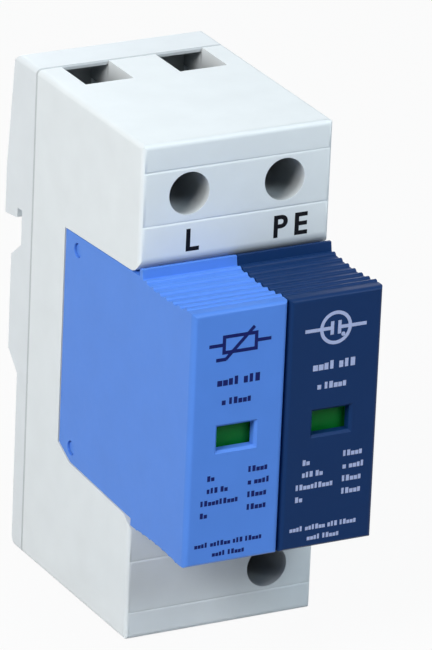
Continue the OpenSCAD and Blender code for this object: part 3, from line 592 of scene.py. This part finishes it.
def stroke(shape, x0, z0, x1, z1, width, y):
    """Adds a printed line from one point to another."""
    length = math.hypot(x1 - x0, z1 - z0)
    x = (x0 + x1) / 2
    z = (z0 + z1) / 2
    turn = -math.atan2(z1 - z0, x1 - x0)
    bar(shape, x - length / 2, x + length / 2, z - width / 2, z + width / 2, y, turn)


def ring(shape, x, z, radius, width, y):
    """Adds a printed ring."""
    inner = x + radius - width / 2
    outer = x + radius + width / 2
    back = y + INK_T / 2
    front = y - INK_T / 2
    bmesh.ops.spin(
        shape,
        geom=closed_loop(shape, ((inner, back, z), (outer, back, z), (outer, front, z), (inner, front, z))),
        cent=Vector((x, y, z)) * MM,
        axis=(0, 1, 0),
        angle=math.tau,
        steps=RING_STEPS,
        use_merge=True,
        use_normal_flip=False,
        use_duplicate=False,
    )


def dot(shape, x, z, radius, y):
    """Adds a printed dot."""
    place = Matrix.Translation(Vector((x, y, z)) * MM)
    bmesh.ops.create_cone(
        shape,
        cap_ends=True,
        segments=DOT_STEPS,
        radius1=radius * MM,
        radius2=radius * MM,
        depth=INK_T * MM,
        matrix=place @ Matrix.Rotation(QUARTER_TURN, 4, "X"),
    )


# Circuit signs on the modules' fronts

SIGN_PEN = 0.62
SIGN_HALF_PEN = SIGN_PEN / 2
SIGN_REACH = 5.8
VARISTOR_HALF_W = 3.0
VARISTOR_HALF_H = 1.4
SLANT_REACH = 2.6
SLANT_FOOT_FROM = 4.4
SLANT_FOOT_TO = 2.5
TUBE_R = 2.7
TUBE_PLATE_X = 0.7
TUBE_PLATE_HALF_H = 1.2
TUBE_DOT_X = 1.45
TUBE_DOT_Z = -1.35
TUBE_DOT_R = 0.38


def varistor_sign(shape, x, z, y):
    """The circuit sign of a varistor: a box on a line, crossed by a slanted stroke with a foot."""
    wide = VARISTOR_HALF_W
    tall = VARISTOR_HALF_H
    half = SIGN_HALF_PEN
    for edge_z in (z - tall, z + tall):
        stroke(shape, x - wide - half, edge_z, x + wide + half, edge_z, SIGN_PEN, y)
    for side in (-1, 1):
        edge_x = x + side * wide
        stroke(shape, edge_x, z - tall + half, edge_x, z + tall - half, SIGN_PEN, y)
        stroke(shape, edge_x + side * half, z, x + side * SIGN_REACH, z, SIGN_PEN, y)
    low = z - SLANT_REACH
    stroke(shape, x - SLANT_REACH, low, x + SLANT_REACH, z + SLANT_REACH, SIGN_PEN, y - OVERPRINT)
    stroke(shape, x - SLANT_FOOT_FROM, low, x - SLANT_FOOT_TO, low, SIGN_PEN, y - 2 * OVERPRINT)


def gas_tube_sign(shape, x, z, y):
    """The circuit sign of a gas tube: two plates with a gap in a ring, and a dot for the gas."""
    ring(shape, x, z, TUBE_R, SIGN_PEN, y)
    for side in (-1, 1):
        plate_x = x + side * TUBE_PLATE_X
        lead_x = plate_x + side * SIGN_HALF_PEN
        stroke(shape, lead_x, z, x + side * SIGN_REACH, z, SIGN_PEN, y - OVERPRINT)
        stroke(shape, plate_x, z - TUBE_PLATE_HALF_H, plate_x, z + TUBE_PLATE_HALF_H, SIGN_PEN, y)
    dot(shape, x + TUBE_DOT_X, z + TUBE_DOT_Z, TUBE_DOT_R, y)


# Rows of small bars on the modules' fronts, in place of print

BAR_TALL = (1.0, 0.68, 1.0, 0.8, 0.68)
BAR_WIDE = (0.42, 0.6, 0.56, 0.5, 0.62)
BAR_STEP = 0.72
WORD_GAP = 0.6
SIGN_Z = 16.2

# Each row's left end from the pole's middle, its height, the size of its bars, and how many make each word
FREE_ROWS = (
    (-4.0, 9.6, 1.5, (4, 3)),
    (-3.0, 6.0, 1.2, (1, 5)),
    (-7.0, -19.6, 0.9, (4, 6, 3, 5)),
    (-3.6, -21.5, 0.9, (4, 5)),
)

# Two columns of rows from the top down, the left one with each row's own left end
LEFT_ROWS = ((-5.1, (2,)), (-5.1, (3, 2)), (-6.2, (10,)), (-6.2, (2,)))
LEFT_TOP_Z = -7.6
LEFT_STEP = 2.2
LEFT_SIZE = 1.0
RIGHT_ROWS = ((5,), (1, 4), (5,), (5,))
RIGHT_X = 2.6
RIGHT_TOP_Z = -7.0
RIGHT_STEP = 2.3
RIGHT_SIZE = 1.05


def small_print(shape, x, z, size, words):
    """Adds a row of small bars from x to the right, grouped like words of so many letters."""
    low = z - size / 2
    for count in words:
        for place in range(count):
            form = (place * 2 + count) % len(BAR_TALL)
            bar(shape, x, x + size * BAR_WIDE[form], low, low + size * BAR_TALL[form], FACE_Y)
            x += size * BAR_STEP
        x += size * BAR_STEP * WORD_GAP


def front_print(pole, sign, colour):
    """What is printed on a module's front: a circuit sign and rows of plain bars."""
    x = middle(f"{pole}_case").x
    shape = bmesh.new()
    sign(shape, x, SIGN_Z, FACE_Y)
    for left, z, size, words in FREE_ROWS:
        small_print(shape, x + left, z, size, words)
    for row, (left, words) in enumerate(LEFT_ROWS):
        small_print(shape, x + left, LEFT_TOP_Z - LEFT_STEP * row, LEFT_SIZE, words)
    for row, words in enumerate(RIGHT_ROWS):
        small_print(shape, x + RIGHT_X, RIGHT_TOP_Z - RIGHT_STEP * row, RIGHT_SIZE, words)
    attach(made(f"{pole}_print", shape, colour), f"{pole}_module")


front_print("line", varistor_sign, ink_dark_blue)
front_print("earth", gas_tube_sign, ink_pale)


# Letters of the terminals on the front of the base

LETTER_BOLD = 0.024
LETTER_EXTRUDE = 0.02
LETTER_H = 3.9
LETTER_FOOT_Z = 25.2
LETTER_WELD = 0.001

# Each letter's piece, the letter, its terminal, and its left foot from the terminal's middle
LETTERS = (
    ("mark_line", "L", "line", -0.3),
    ("mark_earth_p", "P", "earth", -1.7),
    ("mark_earth_e", "E", "earth", 2.3),
)


def letter(name, character, x):
    """Prints a letter on the base, with its left foot at x."""
    curve = bpy.data.curves.new(name, "FONT")
    curve.body = character
    curve.size = 1.0
    curve.offset = LETTER_BOLD
    curve.extrude = LETTER_EXTRUDE
    holder = shown(f"{name}_curve", curve)
    bpy.context.view_layer.update()
    mesh = bpy.data.meshes.new_from_object(holder.evaluated_get(bpy.context.evaluated_depsgraph_get()))
    bpy.data.objects.remove(holder)
    shape = bmesh.new()
    shape.from_mesh(mesh)
    bpy.data.meshes.remove(mesh)
    left = min(vert.co.x for vert in shape.verts)
    gain = LETTER_H / max(vert.co.y for vert in shape.verts) * MM
    thinner = INK_T / (2 * LETTER_EXTRUDE) * MM
    upright = Matrix.Rotation(QUARTER_TURN, 3, "X")
    bmesh.ops.translate(shape, vec=(-left, 0, 0), verts=shape.verts)
    bmesh.ops.scale(shape, vec=(gain, gain, thinner), verts=shape.verts)
    bmesh.ops.rotate(shape, cent=(0, 0, 0), matrix=upright, verts=shape.verts)
    bmesh.ops.translate(shape, vec=Vector((x, FRONT_Y, LETTER_FOOT_Z)) * MM, verts=shape.verts)
    bmesh.ops.remove_doubles(shape, verts=shape.verts, dist=LETTER_WELD * MM)
    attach(made(name, shape, ink_black), "base")


for name, character, terminal, left in LETTERS:
    letter(name, character, middle(f"{terminal}_screw").x + left)


# Floor, light and camera, placed in metres

FLOOR_HALF = 3.0
FLOOR_GAP = 0.0002
FLOOR_GREY = (0.42, 0.43, 0.44)
FLOOR_WHITE_SHARE = 0.94
SKY_TINT = (0.93, 0.97, 1.0, 1.0)
SKY_STRENGTH = 0.02
LAMP_TARGET = Vector((0, -0.03, 0))
CAMERA_CLIP = 0.05
CAMERA_SENSOR_MM = 36.0


def seen_rays(nodes):
    """One where a surface is seen directly, in gloss or through glass, and zero where it sheds light."""
    path = nodes.node("ShaderNodeLightPath")
    direct = Value(nodes, path.outputs["Is Camera Ray"])
    in_gloss = Value(nodes, path.outputs["Is Glossy Ray"])
    through_glass = Value(nodes, path.outputs["Is Transmission Ray"])
    return (direct + in_gloss + through_glass).held()


def floor():
    """A pale floor under the object, which shows white but keeps the object's shadow."""
    shape = bmesh.new()
    bmesh.ops.create_grid(shape, x_segments=1, y_segments=1, size=FLOOR_HALF)
    bmesh.ops.translate(shape, vec=(0, 0, BASE_BOTTOM_Z * MM - FLOOR_GAP), verts=shape.verts)
    mesh = bpy.data.meshes.new("floor")
    shape.to_mesh(mesh)
    shape.free()
    paint = Paint("floor_white", FLOOR_GREY, roughness=0.8, specular=0.1)
    white = paint.node("ShaderNodeEmission", inputs={"Color": WHITE, "Strength": 1.0})
    share = seen_rays(paint) * FLOOR_WHITE_SHARE
    both = paint.node(
        "ShaderNodeMixShader",
        inputs={0: share, 1: paint.shader.outputs[0], 2: white.outputs[0]},
    )
    paint.join(paint.tree.nodes["Material Output"].inputs["Surface"], both.outputs[0])
    mesh.materials.append(paint.material)
    shown("floor", mesh)


def sky():
    """A faint even light from all round, which shows as white."""
    world = bpy.data.worlds.new("studio")
    bpy.context.scene.world = world
    world.use_nodes = True
    nodes = Nodes(world.node_tree)
    dim = nodes.tree.nodes["Background"]
    nodes.join(dim.inputs["Color"], SKY_TINT)
    nodes.join(dim.inputs["Strength"], SKY_STRENGTH)
    white = nodes.node("ShaderNodeBackground", inputs={"Color": WHITE, "Strength": 1.0})
    both = nodes.node(
        "ShaderNodeMixShader",
        inputs={0: seen_rays(nodes), 1: dim.outputs[0], 2: white.outputs[0]},
    )
    nodes.join(nodes.tree.nodes["World Output"].inputs["Surface"], both.outputs[0])


def soft_lamp(name, place, size, power, colour):
    """A square lamp that points at the object."""
    data = bpy.data.lights.new(name, "AREA")
    data.shape = "SQUARE"
    data.size = size
    data.energy = power
    data.color = colour
    lamp = shown(name, data)
    lamp.location = place
    lamp.rotation_euler = (LAMP_TARGET - Vector(place)).to_track_quat("-Z", "Y").to_euler()


def photo_camera(azimuth, elevation, roll, distance, target, lens):
    """A camera round the target, turned by roll about its own line of sight."""
    a = math.radians(azimuth)
    e = math.radians(elevation)
    r = math.radians(roll)
    back = Vector((math.cos(e) * math.sin(a), -math.cos(e) * math.cos(a), math.sin(e)))
    level = Vector((math.cos(a), math.sin(a), 0.0))
    up = back.cross(level)
    right = math.cos(r) * level + math.sin(r) * up
    above = math.cos(r) * up - math.sin(r) * level
    data = bpy.data.cameras.new("camera")
    data.sensor_width = CAMERA_SENSOR_MM
    data.lens = lens
    data.clip_start = CAMERA_CLIP
    camera = shown("camera", data)
    turn = Matrix((right, above, back)).transposed().to_4x4()
    camera.matrix_world = Matrix.Translation(Vector(target) + back * distance) @ turn
    bpy.context.scene.camera = camera


floor()
sky()
soft_lamp("key", (-0.92, -0.38, 0.66), size=0.5, power=13.0, colour=(1.0, 0.99, 0.97))
soft_lamp("overhead", (-0.15, -0.05, 1.2), size=0.6, power=2.6, colour=(0.92, 0.97, 1.0))
soft_lamp("fill", (0.36, -0.83, 0.76), size=0.5, power=7.3, colour=(0.8, 0.92, 1.0))
soft_lamp("back", (0.7, 2.4, 0.3), size=0.6, power=36.0, colour=(0.95, 0.98, 1.0))
photo_camera(
    azimuth=-28.42,
    elevation=21.93,
    roll=2.50,
    distance=1.1829,
    target=(0.0109, -0.0185, -0.0008),
    lens=378.9,
)
bpy.context.scene.view_settings.view_transform = "Standard"
